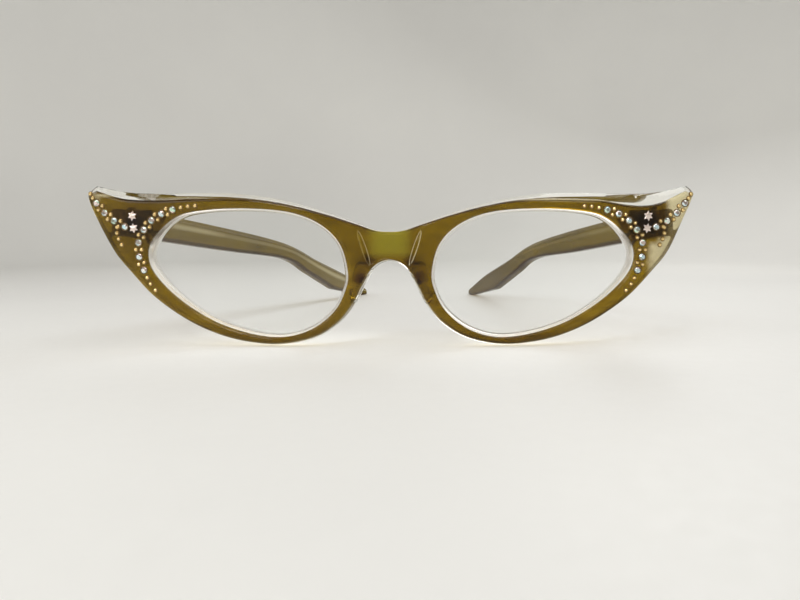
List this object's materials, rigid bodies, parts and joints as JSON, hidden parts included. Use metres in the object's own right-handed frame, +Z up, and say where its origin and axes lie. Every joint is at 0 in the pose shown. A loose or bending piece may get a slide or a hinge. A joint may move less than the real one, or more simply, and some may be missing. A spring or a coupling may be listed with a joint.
{
  "type": "cat eye spectacles",
  "caption": "Cat eye spectacle frame with clear lenses, laminated acetate front, jewelled upswept corners and two hinged temples.",
  "frame": {"origin": "on the surface that the spectacles stand on, under the middle of the whole object with its temples part folded", "axes": "+X across the front to the right as seen from in front, +Y from the front back along the temples, +Z up"},
  "size_m": [0.148, 0.1452, 0.0385],
  "materials": {
    "olive_acetate": "polished translucent olive gold acetate",
    "crystal_acetate": "polished clear acetate, faintly warm",
    "lens": "clear uncoated lens",
    "rhinestone": "faceted crystal with an iridescent coat",
    "star_metal": "bright metal, faintly pink",
    "hinge_metal": "nickel silver, satin"
  },
  "bodies": {
    "front": {"front_olive_layer": "olive_acetate", "front_crystal_layer": "crystal_acetate", "lens_left": "lens", "lens_right": "lens", "nose_pad_left": "crystal_acetate", "nose_pad_right": "crystal_acetate", "rhinestone_tip_1_left": "rhinestone", "rhinestone_tip_2_left": "rhinestone", "rhinestone_tip_3_left": "rhinestone", "rhinestone_tip_4_left": "rhinestone", "rhinestone_brow_1_left": "rhinestone", "rhinestone_brow_2_left": "rhinestone", "rhinestone_brow_3_left": "rhinestone", "rhinestone_brow_4_left": "rhinestone", "rhinestone_rim_1_left": "rhinestone", "rhinestone_rim_2_left": "rhinestone", "rhinestone_rim_3_left": "rhinestone", "rhinestone_tip_1_right": "rhinestone", "rhinestone_tip_2_right": "rhinestone", "rhinestone_tip_3_right": "rhinestone", "rhinestone_tip_4_right": "rhinestone", "rhinestone_brow_1_right": "rhinestone", "rhinestone_brow_2_right": "rhinestone", "rhinestone_brow_3_right": "rhinestone", "rhinestone_brow_4_right": "rhinestone", "rhinestone_rim_1_right": "rhinestone", "rhinestone_rim_2_right": "rhinestone", "rhinestone_rim_3_right": "rhinestone", "star_rivet_upper_left": "star_metal", "star_rivet_lower_left": "star_metal", "star_rivet_upper_right": "star_metal", "star_rivet_lower_right": "star_metal", "hinge_leaf_front_left": "hinge_metal", "hinge_leaf_front_right": "hinge_metal", "hinge_screw_left": "hinge_metal", "hinge_screw_right": "hinge_metal"},
    "temple_left": {"temple_left": "olive_acetate", "hinge_leaf_temple_left": "hinge_metal", "temple_rivet_front_left": "hinge_metal", "temple_rivet_rear_left": "hinge_metal"},
    "temple_right": {"temple_right": "olive_acetate", "hinge_leaf_temple_right": "hinge_metal", "temple_rivet_front_right": "hinge_metal", "temple_rivet_rear_right": "hinge_metal"}
  },
  "joints": [
    {"name": "hinge_left", "type": "hinge", "parent": "front", "child": "temple_left", "pos_m": [-0.06432, -0.06106, 0.0296], "axis": [0, 0, -1], "range_deg": [-18.5, 71.5]},
    {"name": "hinge_right", "type": "hinge", "parent": "front", "child": "temple_right", "pos_m": [0.06432, -0.06106, 0.0296], "axis": [0, 0, 1], "range_deg": [-18.5, 61.5]}
  ]
}
